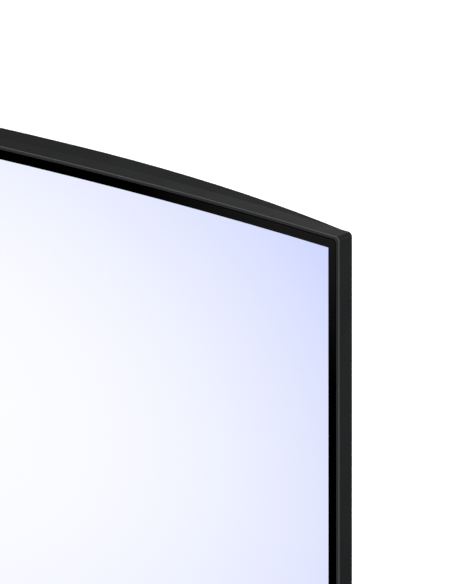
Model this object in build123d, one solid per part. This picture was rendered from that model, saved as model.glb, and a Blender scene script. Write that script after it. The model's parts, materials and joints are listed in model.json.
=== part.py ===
from build123d import *
import os
from math import asin, cos, radians, sin, sqrt

# Desktop computer monitor with a curved panel on a height, tilt and swivel stand.
# Millimetres. +Z is up, the screen faces -Y, and the origin is the centre of the base on the desk.

# --- Driving dimensions: panel -------------------------------------------------------------
PANEL_RADIUS = 1800.0        # curvature of the front glass, concave towards the viewer
ACTIVE_ARC = 597.7           # width of the lit area, measured along the curve
ACTIVE_HEIGHT = 336.2
BLACK_BORDER = 4.9           # unlit margin of the glass around the lit area
GLASS_GAP = 0.8              # shadow gap between the glass and the frame
LIP = 1.85                   # thickness of the perimeter wall, seen from the front as the lip
CHIN = 20.0                  # from the lit area down to the bottom of the head
WALL_DEPTH = 11.0            # depth of the perimeter wall
CORNER_RADIUS = 2.6
WINDOW_CORNER = 2.2          # corner of the frame's opening
GLASS_CORNER = 1.5
EDGE_RADIUS = 0.45           # softened outer edges of the frame
SCREEN_Y = -62.0             # front of the glass at its middle
HEAD_BOTTOM = 95.0           # underside of the head with the lift at mid travel

# --- Driving dimensions: rear cover --------------------------------------------------------
COVER_WALL = 2.2
COVER_DEPTH = 25.4           # depth of the cover's middle behind the glass
COVER_FLAT_ARC = 105.0       # half width of the stretch that keeps the full depth
COVER_TAPER_END = 299.7      # arc distance at which the cover has sunk to the wall's depth
BULGE_HALF_WIDTH = 150.0
BULGE_BOTTOM = 150.0
BULGE_TOP = 346.0
BULGE_Y = -22.0              # flat rear face of the electronics bulge

# --- Driving dimensions: stand -------------------------------------------------------------
HINGE_Y = 0.0
HINGE_Z = 268.0
VESA_PITCH = 100.0
VESA_HOLE = 2.0
LIFT_TRAVEL = 50.0           # each way from mid travel
COLUMN_Y = 40.0              # swivel axis and column centre
COLUMN_WIDTH = 58.0
COLUMN_DEPTH = 40.0
COLUMN_WALL = 2.5
COLUMN_TOP = 352.0
BASE_WIDTH = 250.0
BASE_DEPTH = 240.0
BASE_CORNER = 22.0
PLATE_BOTTOM = 5.0
PLATE_TOP = 9.0
BASE_TOP = 14.0

# --- Worked out from the driving dimensions ------------------------------------------------
CENTRE_Y = SCREEN_Y - PANEL_RADIUS
HALF_ACTIVE = ACTIVE_ARC / 2
ACTIVE_BOTTOM = HEAD_BOTTOM + CHIN
ACTIVE_TOP = ACTIVE_BOTTOM + ACTIVE_HEIGHT
GLASS_MARGIN = BLACK_BORDER
OPENING_MARGIN = GLASS_MARGIN + GLASS_GAP
OUTER_MARGIN = OPENING_MARGIN + LIP
HALF_OUTER = HALF_ACTIVE + OUTER_MARGIN
HALF_OPENING = HALF_ACTIVE + OPENING_MARGIN
HEAD_TOP = ACTIVE_TOP + OUTER_MARGIN

GLASS_BACK = 1.4
FILM_FRONT = 1.95
GUIDE_FRONT = 2.8
GUIDE_BACK = 5.4
PLATE_FRONT = 6.6
PLATE_BACK = 7.4
FLANGE_FRONT = 7.6
FLANGE_BACK = 8.75
LEDGE = 5.5                  # reach of the frame's ledge behind the panel
BOARD_FRONT_Y = -50.6
BOARD_BACK_Y = -49.0
SHIELD_Y = -36.0
VESA_PLATE_FRONT = -32.5
VESA_PLATE_BACK = -31.0
FIT = 0.05                   # running clearance on a radius


# --- Helpers -------------------------------------------------------------------------------
def block(x0, x1, y0, y1, z0, z1):
    """Box between two corners."""
    return Pos((x0 + x1) / 2, (y0 + y1) / 2, (z0 + z1) / 2) * Box(x1 - x0, y1 - y0, z1 - z0)


def rod_x(x0, x1, y, z, radius):
    return Pos((x0 + x1) / 2, y, z) * Rot(0, 90, 0) * Cylinder(radius, x1 - x0)


def rod_y(x, y0, y1, z, radius):
    return Pos(x, (y0 + y1) / 2, z) * Rot(90, 0, 0) * Cylinder(radius, y1 - y0)


def rod_z(x, y, z0, z1, radius):
    return Pos(x, y, (z0 + z1) / 2) * Cylinder(radius, z1 - z0)


def plan(depth, arc):
    """Plan point at a depth behind the glass and an arc distance from the screen's middle."""
    angle = arc / PANEL_RADIUS
    radius = PANEL_RADIUS + depth
    return (radius * sin(angle), CENTRE_Y + radius * cos(angle))


def curve(depth, arc0, arc1):
    """Arc that keeps one depth behind the glass."""
    return ThreePointArc(plan(depth, arc0), plan(depth, (arc0 + arc1) / 2), plan(depth, arc1))


def raise_outline(edges, z0, z1):
    """Solid above a closed outline in plan."""
    return Pos(0, 0, z0) * extrude(make_face(edges), z1 - z0, dir=(0, 0, 1))


def slab(front, back, arc0, arc1, z0, z1):
    """Curved block that follows the screen."""
    edges = [
        curve(front, arc0, arc1),
        Line(plan(front, arc1), plan(back, arc1)),
        curve(back, arc0, arc1),
        Line(plan(back, arc0), plan(front, arc0)),
    ]
    return raise_outline(edges, z0, z1)


def sheet(front, back, margin, bottom=None):
    """Curved sheet that overhangs the lit area by a margin."""
    low = margin if bottom is None else bottom
    half = HALF_ACTIVE + margin
    return slab(front, back, -half, half, ACTIVE_BOTTOM - low, ACTIVE_TOP + margin)


def plate_rear_y(x):
    """Y of the panel backplate's rear surface."""
    radius = PANEL_RADIUS + PLATE_BACK
    return CENTRE_Y + sqrt(radius ** 2 - x ** 2)


def depth_edges(solid):
    """Straight level edges of a curved slab: the ones that run from front to back."""
    lines = solid.edges().filter_by(GeomType.LINE)
    return [edge for edge in lines if abs((edge @ 0).Z - (edge @ 1).Z) < 0.001]


def rounded_slab_z(width, depth, radius, z0, z1, y=0.0):
    """Plate with rounded corners in plan."""
    return Pos(0, y, z0) * extrude(RectangleRounded(width, depth, radius), z1 - z0)


def mirror_x(solid):
    return mirror(solid, about=Plane.YZ)


def spring(x, y, z, direction, radius, wire, length, turns):
    """Coil spring that starts at a point and runs along a direction."""
    path = Helix(length / turns, length, radius, (x, y, z), direction)
    profile = Plane(origin=path @ 0, z_dir=path % 0) * Circle(wire)
    return sweep(profile, path=path)


def save(name, *solids):
    """Write one sub-part, as one solid or as a group of separate solids."""
    shapes = [solid for item in solids for solid in item.solids()]
    whole = shapes[0] if len(shapes) == 1 else Compound(children=shapes)
    whole.label = name
    export_step(whole, f"parts/{name}.step")


# --- Screen and frame ----------------------------------------------------------------------
def make_front_frame():
    """Thin perimeter wall whose front edge is the lip, with a ledge behind the panel."""
    body = slab(0, WALL_DEPTH, -HALF_OUTER, HALF_OUTER, HEAD_BOTTOM, HEAD_TOP)
    body = fillet(depth_edges(body), CORNER_RADIUS)
    front_and_back = [face for face in body.faces() if abs(face.normal_at().Y) > 0.9]
    body = fillet([edge for face in front_and_back for edge in face.edges()], EDGE_RADIUS)
    low = HEAD_BOTTOM + LIP
    high = HEAD_TOP - LIP
    window = slab(-1, FLANGE_FRONT, -HALF_OPENING, HALF_OPENING, low, high)
    window = fillet(depth_edges(window), WINDOW_CORNER)
    inside = HALF_OPENING - LEDGE
    rear = slab(FLANGE_FRONT - 0.1, WALL_DEPTH + 1, -inside, inside, low, high - LEDGE)
    nest = slab(FLANGE_BACK, WALL_DEPTH + 1, -HALF_OPENING, HALF_OPENING, low, high)
    return body - window - rear - nest


LED_ARC = 281.0
LED_Z = HEAD_BOTTOM + 9.0


def led_rod(radius, depth0, depth1):
    """Short rod square to the screen at the status light."""
    x, y = plan((depth0 + depth1) / 2, LED_ARC)
    turn = -LED_ARC / PANEL_RADIUS * 57.29578
    return Pos(x, y, LED_Z) * Rot(0, 0, turn) * Rot(90, 0, 0) * Cylinder(radius, depth1 - depth0)


def make_chin_cover():
    """Strip below the glass, an open channel that the panel's flexes pass behind."""
    half = HALF_OPENING - 0.1
    top = ACTIVE_BOTTOM - OPENING_MARGIN
    bottom = HEAD_BOTTOM + LIP + 0.05
    skin = slab(0, 1.8, -half, half, bottom, top)
    low_corners = [edge for edge in depth_edges(skin) if edge.center().Z < bottom + 1]
    skin = fillet(low_corners, WINDOW_CORNER)
    low_rib = slab(1.7, 6.5, WINDOW_CORNER - half, half - WINDOW_CORNER, bottom, bottom + 1.5)
    top_rib = slab(1.7, 6.5, -half, half, top - 1.5, top)
    return skin + low_rib + top_rib - led_rod(1.25, -1, 3)


def make_lcd_cell():
    glass = sheet(0, GLASS_BACK, GLASS_MARGIN)
    return fillet(depth_edges(glass), GLASS_CORNER)


def make_mold_frame():
    """Plastic ring that spaces the glass from the films and holds the film stack."""
    shelf = sheet(1.45, 1.9, GLASS_MARGIN) - sheet(1, 3, 0.8)
    wall = sheet(1.9, 6.5, 3.65) - sheet(1, 8, 2.5)
    return shelf + wall


FILM_MARGIN = 2.2            # reach of films and light guide beyond the lit area
FILM_LOW = 0.6               # the same, at the edge that faces the lamps


def make_optical_films():
    """Diffuser and prism sheets between the glass and the light guide."""
    fronts = [FILM_FRONT + 0.28 * index for index in range(3)]
    return [sheet(front, front + 0.25, FILM_MARGIN, FILM_LOW) for front in fronts]


def standoff(x, z, y_end, radius, bore):
    """Threaded pillar on the backplate."""
    pillar = rod_y(x, plate_rear_y(x) - 0.35, y_end, z, radius)
    return pillar - rod_y(x, y_end - 8, y_end + 1, z, bore)


BOARD_SCREW = 1.4
COVER_SCREW = 1.5
MAIN_BOARD_SPOTS = [(x, z) for x in (-90, 54) for z in (160, 234)]
DRIVER_BOARD_SPOTS = [(x, z) for x in (-84, 14) for z in (256, 319)]
BOARD_SCREW_SPOTS = MAIN_BOARD_SPOTS + DRIVER_BOARD_SPOTS
COVER_SCREW_SPOTS = [(x, z) for x in (-136, 136) for z in (166, 330)]
SHIELD_SCREW_SPOTS = [(x, z) for x in (-126, 126) for z in (200, 300)]
BRACKET_SCREW_SPOTS = [(x, HINGE_Z + z) for x in (-59, 59) for z in (-59, 59)]
COVER_BOSS_Y = -40.0


def make_panel_backplate():
    """Steel tray behind the light guide, with the pillars that carry boards and cover."""
    tray = sheet(PLATE_FRONT, PLATE_BACK, GLASS_MARGIN)
    wall = sheet(1.95, PLATE_FRONT + 0.1, GLASS_MARGIN) - sheet(1, PLATE_FRONT, GLASS_MARGIN - 0.8)
    plate = tray + wall
    for x, z in BOARD_SCREW_SPOTS:
        plate += standoff(x, z, BOARD_FRONT_Y, 2.6, BOARD_SCREW)
    for x, z in COVER_SCREW_SPOTS:
        plate += standoff(x, z, COVER_BOSS_Y - 0.1, 3.5, COVER_SCREW)
    for x, z in SHIELD_SCREW_SPOTS:
        plate += standoff(x, z, plate_rear_y(x) + 5.0, 3.0, BOARD_SCREW)
    return plate


def make_led_bar():
    """Strip of light-emitting diodes that faces the light guide's lower edge."""
    face = ACTIVE_BOTTOM - 1.4
    strip = slab(2.95, 5.25, -296, 296, face - 0.8, face)
    pitch = 11.0
    arcs = [index * pitch for index in range(-26, 27)]
    lamps = [slab(3.3, 4.9, arc - 1.8, arc + 1.8, face, face + 0.65) for arc in arcs]
    return [strip] + lamps


def make_source_boards():
    """Two slim curved boards behind the panel's lower edge."""
    low = ACTIVE_BOTTOM + 10
    high = ACTIVE_BOTTOM + 26
    left = slab(7.75, 8.75, -262, -6, low, high)
    return [left, mirror_x(left)]


def make_flex_ties():
    """Thin films from the glass's lower edge, round the tray, to the slim boards."""
    edge = ACTIVE_BOTTOM - GLASS_MARGIN
    ties = []
    for index in range(5):
        arc = 30 + 50 * index
        round_edge = slab(1.5, 7.6, arc - 12, arc + 12, edge - 0.3, edge - 0.15)
        up_the_back = slab(7.5, 7.65, arc - 12, arc + 12, edge - 0.3, ACTIVE_BOTTOM + 10)
        tie = round_edge + up_the_back
        ties += [tie, mirror_x(tie)]
    return ties


# --- Electronics ---------------------------------------------------------------------------
def board(x0, x1, z0, z1, spots):
    plate = block(x0, x1, BOARD_FRONT_Y, BOARD_BACK_Y, z0, z1)
    for x, z in spots:
        plate -= rod_y(x, BOARD_FRONT_Y - 1, BOARD_BACK_Y + 1, z, BOARD_SCREW + 0.1)
    return plate


def chip(x, z, width, height, rise):
    return Pos(x, BOARD_BACK_Y + rise / 2, z) * Box(width, rise, height)


def can(x, z, radius, rise):
    return rod_y(x, BOARD_BACK_Y, BOARD_BACK_Y + rise, z, radius)


def make_main_board():
    """Video and control board above the sockets."""
    plate = board(-96, 60, 154, 240, MAIN_BOARD_SPOTS)
    plate += chip(-20, 206, 24, 24, 7)
    plate += chip(-62, 208, 12, 8, 1.2)
    plate += chip(26, 206, 10, 10, 1.2)
    for index in range(4):
        plate += can(-40 + 14 * index, 182, 3, 6)
    return plate


def make_led_driver_board():
    """Backlight supply board."""
    plate = board(-90, 20, 250, 325, DRIVER_BOARD_SPOTS)
    plate += chip(-60, 288, 22, 18, 9)
    plate += chip(-20, 300, 10, 8, 1.2)
    for index in range(3):
        plate += can(-25 + 15 * index, 272, 4.5, 10)
    return plate


SOCKET_BOTTOM = 149.4
SOCKET_TOP = 164.0


SHELL_THICKNESS = 0.5
HDMI_X = (-66, -40)
HDMI_SIZE = (15, 5.6)        # width and height off the board
DISPLAYPORT_X = -12
DISPLAYPORT_SIZE = (16.5, 5.8)
AUDIO_X = 16
AUDIO_SIZE = (7, 6)
AUDIO_BORE = 1.8
DC_X = 42
DC_SIZE = (10, 9)
DC_BORE = 3.2
DC_THROAT = 2.9
DC_PIN = 1.1
DC_MOUTH = 4.0               # depth of the power socket before its throat and centre pin
HOLE_ROOF = 2.5              # material left above the round sockets' holes


def socket_block(x, size):
    """Outer block of a socket that stands on the board and opens downwards."""
    width, height = size
    centre = Pos(x, BOARD_BACK_Y + height / 2, (SOCKET_BOTTOM + SOCKET_TOP) / 2)
    return centre * Box(width, height, SOCKET_TOP - SOCKET_BOTTOM)


def video_socket(x, size):
    """Metal-shelled socket with a tongue inside."""
    width, height = size
    middle = Pos(x, BOARD_BACK_Y + height / 2, SOCKET_BOTTOM)
    inside = middle * Pos(0, 0, 5) * Box(width - 2 * SHELL_THICKNESS, height - 2 * SHELL_THICKNESS, 12)
    tongue = middle * Pos(0, 0, 7.55) * Box(width - 5, 1, 12.1)
    return socket_block(x, size) - inside + tongue


def make_audio_socket():
    """Moulded block with a round hole from below."""
    y = BOARD_BACK_Y + AUDIO_SIZE[1] / 2
    hole = rod_z(AUDIO_X, y, SOCKET_BOTTOM - 1, SOCKET_TOP - HOLE_ROOF, AUDIO_BORE)
    return socket_block(AUDIO_X, AUDIO_SIZE) - hole


def make_dc_power_socket():
    """Moulded block with a stepped hole from below and a centre pin."""
    y = BOARD_BACK_Y + DC_SIZE[1] / 2
    step = SOCKET_BOTTOM + DC_MOUTH
    body = socket_block(DC_X, DC_SIZE)
    body -= rod_z(DC_X, y, SOCKET_BOTTOM - 1, step, DC_BORE)
    body -= rod_z(DC_X, y, SOCKET_BOTTOM, SOCKET_TOP - HOLE_ROOF, DC_THROAT)
    return body + rod_z(DC_X, y, step + 0.2, SOCKET_TOP - 1, DC_PIN)


def make_electronics_shield():
    """Pressed steel box over the boards, open below for the sockets."""
    outer = block(-118, 118, -64, SHIELD_Y, 168, 336)
    inner = block(-117.2, 117.2, -70, SHIELD_Y - 0.8, 160, 335.2)
    box = outer - inner
    for side in (-1, 1):
        foot_x = side * 126
        y = plate_rear_y(126) + 5.0
        x0 = min(side * 117.2, side * 132)
        x1 = max(side * 117.2, side * 132)
        box += block(x0, x1, y, y + 0.8, 190, 310)
        for z in (200, 300):
            box -= rod_y(foot_x, y - 1, y + 2, z, BOARD_SCREW + 0.1)
    for row in range(5):
        for column in range(12):
            x = -99 + 18 * column
            z = 316 - 9 * row
            if abs(x) > 66:
                box -= block(x - 5, x + 5, SHIELD_Y - 2, SHIELD_Y + 1, z - 1.5, z + 1.5)
    for x, z in BRACKET_SCREW_SPOTS:
        box -= rod_y(x, SHIELD_Y - 2, SHIELD_Y + 1, z, BOARD_SCREW)
    return box - sheet(-20, PLATE_BACK + 0.1, 0)


def make_ribbon_cable():
    """Flat cable from the slim boards up to the main board."""
    x0, x1 = 8, 22
    lower = block(x0, x1, -54.1, -53.7, ACTIVE_BOTTOM + 26.2, 172)
    fold = block(x0, x1, -54.1, -50.7, 171.6, 172)
    upper = block(x0, x1, -51.1, -50.7, 160, 172)
    return lower + fold + upper


def screw_y(x, z, head_y, head_radius, head_height, shank_radius, length):
    """Cross-head screw driven from behind."""
    head = rod_y(x, head_y, head_y + head_height, z, head_radius)
    shank = rod_y(x, head_y - length, head_y, z, shank_radius)
    arm = head_radius * 1.2
    cross = Box(arm, head_height, 0.7) + Box(0.7, head_height, arm)
    return head + shank - Pos(x, head_y + head_height, z) * cross


def make_board_screws():
    return [screw_y(x, z, BOARD_BACK_Y, 2.6, 1.6, BOARD_SCREW - FIT, 5) for x, z in BOARD_SCREW_SPOTS]


def make_shield_screws():
    y = plate_rear_y(126) + 5.8
    return [screw_y(x, z, y, 2.6, 1.6, BOARD_SCREW - FIT, 5) for x, z in SHIELD_SCREW_SPOTS]


# --- Mount for the stand or a wall bracket ---------------------------------------------------
LATCH_SLOT_LOW = HINGE_Z - 36.0
HOOK_SLOT_TOP = HINGE_Z + 31.0


def make_vesa_bracket():
    """Steel plate with the four threaded bosses that the rear cover leaves open."""
    half = 66.0
    plate = block(-half, half, VESA_PLATE_FRONT, VESA_PLATE_BACK, HINGE_Z - half, HINGE_Z + half)
    pitch = VESA_PITCH / 2
    for x in (-pitch, pitch):
        for z in (HINGE_Z - pitch, HINGE_Z + pitch):
            plate += rod_y(x, VESA_PLATE_BACK, BULGE_Y - 0.2, z, 4.7)
            plate -= rod_y(x, VESA_PLATE_FRONT - 1, BULGE_Y + 1, z, VESA_HOLE)
    for x, z in BRACKET_SCREW_SPOTS:
        plate += rod_y(x, SHIELD_Y, VESA_PLATE_FRONT, z, 5)
        plate -= rod_y(x, SHIELD_Y - 1, VESA_PLATE_BACK + 1, z, BOARD_SCREW + 0.1)
    front = VESA_PLATE_FRONT - 1
    back = VESA_PLATE_BACK + 1
    for x in (-25, 25):
        plate -= block(x - 4.5, x + 4.5, front, back, HOOK_SLOT_TOP - 6.5, HOOK_SLOT_TOP)
    return plate - block(-4.2, 4.2, front, back, LATCH_SLOT_LOW - 0.1, LATCH_SLOT_LOW + 9)


def make_bracket_screws():
    shank = BOARD_SCREW - FIT
    return [screw_y(x, z, VESA_PLATE_BACK, 2.8, 1.6, shank, 6.5) for x, z in BRACKET_SCREW_SPOTS]


# --- Joystick --------------------------------------------------------------------------------
STICK_X = 205.0
STICK_Y = -61.6
STICK_Z = HEAD_BOTTOM + 17.0


def make_joystick_housing():
    cup = Pos(STICK_X, STICK_Y + 0.05, STICK_Z) * Box(17, 6.7, 17)
    cup -= rod_y(STICK_X, STICK_Y - 2.6, STICK_Y + 5, STICK_Z, 6.8)
    return cup - rod_z(STICK_X, STICK_Y, STICK_Z - 7.7, STICK_Z + 7.7, 0.8)


def make_joystick_gimbal():
    """Ring that rocks left and right on two upright pins."""
    ring = rod_y(STICK_X, STICK_Y - 1.2, STICK_Y + 1.2, STICK_Z, 6.1)
    ring += rod_z(STICK_X, STICK_Y, STICK_Z - 7.6, STICK_Z + 7.6, 0.8 - FIT)
    ring -= rod_y(STICK_X, STICK_Y - 2, STICK_Y + 2, STICK_Z, 4.8)
    return ring - rod_x(STICK_X - 5.6, STICK_X + 5.6, STICK_Y, STICK_Z, 0.6)


def make_joystick_cradle():
    """Disc that rocks up and down inside the ring and guides the stem."""
    disc = rod_y(STICK_X, STICK_Y - 1.2, STICK_Y + 1.2, STICK_Z, 4.1)
    disc += rod_x(STICK_X - 5.5, STICK_X + 5.5, STICK_Y, STICK_Z, 0.6 - FIT)
    return disc - rod_y(STICK_X, STICK_Y - 2, STICK_Y + 2, STICK_Z, 1.5 + FIT)


def make_joystick_cap():
    """Stem and thumb cap that presses in."""
    tip = STICK_Y + 13.1
    stem = rod_y(STICK_X, STICK_Y - 1.6, tip - 3, STICK_Z, 1.5)
    cap = rod_y(STICK_X, tip - 6, tip, STICK_Z, 4.6)
    cap = fillet(cap.edges().group_by(Axis.Y)[-1], 1.2)
    dish = Pos(STICK_X, tip + 17.2, STICK_Z) * Sphere(18)
    return stem + (cap - dish)


# --- Rear cover ------------------------------------------------------------------------------
def cover_outline(front, depth, end_depth, taper_end, rim):
    """Closed plan outline: full depth in the middle, tapering to the wall's depth at each side."""
    mid = COVER_FLAT_ARC
    edges = [curve(front, -rim, rim), curve(depth, -mid, mid)]
    for side in (-1, 1):
        angle = side * mid / PANEL_RADIUS
        outwards = (side * cos(angle), -side * sin(angle))
        start = plan(depth, side * mid)
        edges.append(TangentArc(start, plan(end_depth, side * taper_end), tangent=outwards))
        if rim > taper_end:
            edges.append(curve(end_depth, side * taper_end, side * rim))
        if end_depth > front:
            edges.append(Line(plan(end_depth, side * rim), plan(front, side * rim)))
    return edges


def bulge(inset):
    """Rounded block for the electronics bulge, shrunk by an inset."""
    half = BULGE_HALF_WIDTH - inset
    body = block(-half, half, -50, BULGE_Y - inset, BULGE_BOTTOM + inset, BULGE_TOP - inset)
    body = fillet(body.edges().filter_by(Axis.Y), 20 - inset)
    return fillet(body.faces().sort_by(Axis.Y)[-1].edges(), 8 - inset)


POCKET_HALF = 92.0
POCKET_BOTTOM = 120.0
POCKET_Y = -50.3


def make_rear_cover():
    """Moulded rear shell with the electronics bulge, socket pocket, vents and stand opening."""
    rim = HALF_OPENING - 0.1
    inner_low = HEAD_BOTTOM + LIP + 0.1
    inner_high = HEAD_TOP - LIP - 0.1
    nested = raise_outline(
        cover_outline(FLANGE_BACK + 0.05, COVER_DEPTH, WALL_DEPTH, COVER_TAPER_END, rim),
        inner_low, inner_high,
    )
    capped = raise_outline(
        cover_outline(WALL_DEPTH, COVER_DEPTH, WALL_DEPTH, COVER_TAPER_END, COVER_TAPER_END),
        HEAD_BOTTOM + 0.3, HEAD_TOP - 0.3,
    )
    hollow_end = WALL_DEPTH - COVER_WALL
    hollow_half = COVER_TAPER_END - 2
    cavity = raise_outline(
        cover_outline(hollow_end - 0.5, COVER_DEPTH - COVER_WALL, hollow_end, hollow_half, hollow_half),
        inner_low + COVER_WALL, inner_high - COVER_WALL,
    )
    shell = nested + capped + bulge(0) - cavity - bulge(COVER_WALL)

    wall = COVER_WALL
    pocket_outer = block(
        -POCKET_HALF - wall, POCKET_HALF + wall, POCKET_Y - wall + 0.2, -38,
        POCKET_BOTTOM - wall, BULGE_BOTTOM + wall,
    )
    pocket = block(-POCKET_HALF, POCKET_HALF, POCKET_Y, 0, POCKET_BOTTOM, BULGE_BOTTOM)
    shell = shell + (pocket_outer & (capped + bulge(0))) - pocket
    video = [(x, HDMI_SIZE) for x in HDMI_X] + [(DISPLAYPORT_X, DISPLAYPORT_SIZE)]
    for x, (width, height) in video + [(AUDIO_X, AUDIO_SIZE), (DC_X, DC_SIZE)]:
        low_y = BOARD_BACK_Y - 0.3
        window = Box(width + 0.8, height + 0.7, wall + 2)
        shell -= Pos(x, low_y + (height + 0.7) / 2, BULGE_BOTTOM + wall / 2) * window

    opening = 43.0
    shell -= block(-opening, opening, BULGE_Y - 5, BULGE_Y + 1, HINGE_Z - opening, HINGE_Z + opening)
    pitch = VESA_PITCH / 2
    for x in (-pitch, pitch):
        for z in (HINGE_Z - pitch, HINGE_Z + pitch):
            shell -= rod_y(x, BULGE_Y - 5, BULGE_Y + 1, z, 5.0)
    for x, z in COVER_SCREW_SPOTS:
        shell += rod_y(x, COVER_BOSS_Y, BULGE_Y - 1, z, 5.5)
        shell -= rod_y(x, COVER_BOSS_Y - 1, BULGE_Y + 1, z, COVER_SCREW + 0.1)
        shell -= rod_y(x, BULGE_Y - 4, BULGE_Y + 1, z, 3.6)

    vent_pitch = 9.0
    for row_z in (362, 382):
        for index in range(-11, 12):
            x = index * vent_pitch
            shell -= block(x - 1.5, x + 1.5, -45, -30, row_z - 7, row_z + 7)
    shell -= rod_y(STICK_X, -66, -50, STICK_Z, 6.6)
    lock_x = -STICK_X
    shell -= block(lock_x - 3.5, lock_x + 3.5, -66, -50, STICK_Z - 1.5, STICK_Z + 1.5)
    return shell


def make_rear_cover_screws():
    return [screw_y(x, z, BULGE_Y - 4, 3.3, 2.0, COVER_SCREW - FIT, 20) for x, z in COVER_SCREW_SPOTS]


# --- Tilt hinge and quick-release bracket ------------------------------------------------------
BRACKET_FRONT = VESA_PLATE_BACK + 0.1
BRACKET_BACK = BRACKET_FRONT + 3.0
HOOK_FRONT = -34.5           # hooks and latch reach behind the head's steel plate
HOOK_BACK = -32.7
EAR_INSIDE = 17.0
EAR_OUTSIDE = 21.0
SHAFT_RADIUS = 4.0
LATCH_TRAVEL = 3.2
LATCH_ROOF = HINGE_Z - 19.0


def make_stand_bracket():
    """Plate that hooks into the head's steel plate and carries the two hinge ears."""
    half = 42.0
    plate = block(-half, half, BRACKET_FRONT, BRACKET_BACK, HINGE_Z - half, HINGE_Z + half)
    plate = fillet(plate.edges().filter_by(Axis.Y), 5)
    for side in (-1, 1):
        x0 = min(side * EAR_INSIDE, side * EAR_OUTSIDE)
        x1 = max(side * EAR_INSIDE, side * EAR_OUTSIDE)
        ear = block(x0, x1, BRACKET_BACK, HINGE_Y, HINGE_Z - 11, HINGE_Z + 11)
        ear += rod_x(x0, x1, HINGE_Y, HINGE_Z, 11)
        ear += block(x0, x1, BRACKET_BACK, BRACKET_BACK + 8, HINGE_Z - 15, HINGE_Z + 22)
        plate += ear
        hook_x = side * 25
        hook_low = HOOK_SLOT_TOP - 3.1
        plate += block(hook_x - 4, hook_x + 4, HOOK_FRONT, BRACKET_FRONT, hook_low, hook_low + 3)
        plate += block(hook_x - 4, hook_x + 4, HOOK_FRONT, HOOK_BACK, hook_low, hook_low + 6.1)
        rail_x0 = min(side * 10, side * 13)
        plate += block(rail_x0, rail_x0 + 3, BRACKET_BACK, BRACKET_BACK + 7.4, HINGE_Z - 40, LATCH_ROOF + 3)
    plate += block(-13, 13, BRACKET_BACK, BRACKET_BACK + 7.4, LATCH_ROOF, LATCH_ROOF + 3)
    plate -= block(-4.2, 4.2, BRACKET_FRONT - 1, BRACKET_BACK + 1, HINGE_Z - 38, HINGE_Z - 26)
    return plate - rod_x(-30, 30, HINGE_Y, HINGE_Z, SHAFT_RADIUS)


def make_latch_button():
    """Sliding button with the hook that locks the bracket to the head."""
    low = HINGE_Z - 38.0
    high = LATCH_ROOF - 5.0
    body = block(-9.9, 9.9, BRACKET_BACK + 0.1, BRACKET_BACK + 6.4, low, high)
    grip = block(-9.9, 9.9, BRACKET_BACK + 6.4, BRACKET_BACK + 10, low, low + 4)
    grip = fillet(grip.edges().filter_by(Axis.X).sort_by(Axis.Y)[-2:], 1.5)
    stem = block(-3.9, 3.9, HOOK_FRONT, BRACKET_BACK + 0.1, LATCH_SLOT_LOW, LATCH_SLOT_LOW + 4)
    tip = block(-3.9, 3.9, HOOK_FRONT, HOOK_BACK, LATCH_SLOT_LOW - 3, LATCH_SLOT_LOW + 4)
    body = body + grip + stem + tip
    for z in (low + 7, low + 9.5, low + 12):
        body += block(-7, 7, BRACKET_BACK + 6.3, BRACKET_BACK + 6.9, z, z + 0.8)
    return body


def make_latch_spring():
    wire = 0.4
    low = LATCH_ROOF - 5.0 + wire + 0.05
    length = 5.0 - 2 * wire - 0.1
    return spring(0, BRACKET_BACK + 3.3, low, (0, 0, 1), 2.2, wire, length, 3)


def make_tilt_shaft():
    shaft = rod_x(-36, 36, HINGE_Y, HINGE_Z, SHAFT_RADIUS)
    return chamfer(shaft.edges().filter_by(GeomType.CIRCLE), 0.5)


def make_tilt_nuts():
    """Hexagon nuts on both ends of the shaft."""
    nut = extrude(RegularPolygon(7.5, 6), 4) - Pos(0, 0, 2) * Cylinder(SHAFT_RADIUS, 6)
    right = Pos(31.5, HINGE_Y, HINGE_Z) * Rot(0, 90, 0) * nut
    return [right, mirror_x(right)]


def make_friction_washers():
    """Discs that set the hinge's drag, one each side of the barrel and one outside each ear."""
    inner = rod_x(EAR_INSIDE - 0.45, EAR_INSIDE - 0.05, HINGE_Y, HINGE_Z, 8.5)
    outer = rod_x(EAR_OUTSIDE, EAR_OUTSIDE + 0.8, HINGE_Y, HINGE_Z, 8.5)
    hole = rod_x(0, 40, HINGE_Y, HINGE_Z, SHAFT_RADIUS)
    right = [inner - hole, outer - hole]
    return right + [mirror_x(washer) for washer in right]


def make_tilt_springs():
    """Coils on the shaft that carry the head's weight."""
    right = spring(EAR_OUTSIDE + 1.7, HINGE_Y, HINGE_Z, (1, 0, 0), 5.5, 0.8, 8.0, 4)
    return [right, mirror_x(right)]


def make_hinge_caps():
    """Plastic cups over the ends of the hinge."""
    x0 = EAR_OUTSIDE + 0.2
    cup = rod_x(x0, 38.5, HINGE_Y, HINGE_Z, 12.5)
    cup = fillet(cup.edges().group_by(Axis.X)[-1], 1.5)
    cup -= rod_x(x0 - 1, 37, HINGE_Y, HINGE_Z, 11.0)
    return [cup, mirror_x(cup)]


BARREL_HALF = EAR_INSIDE - 0.5
CARRIAGE_LOW = HINGE_Z - 32.0
CARRIAGE_HIGH = HINGE_Z + 28.0


def make_hinge_yoke():
    """Barrel on the tilt shaft with the arm that enters the column."""
    barrel = rod_x(-BARREL_HALF, BARREL_HALF, HINGE_Y, HINGE_Z, 9)
    arm = block(-12, 12, HINGE_Y, COLUMN_Y - 12, HINGE_Z - 9, HINGE_Z + 9)
    flange = block(-14, 14, COLUMN_Y - 15, COLUMN_Y - 12, HINGE_Z - 14, HINGE_Z + 14)
    yoke = barrel + arm + flange
    return yoke - rod_x(-30, 30, HINGE_Y, HINGE_Z, SHAFT_RADIUS + FIT)


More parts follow.
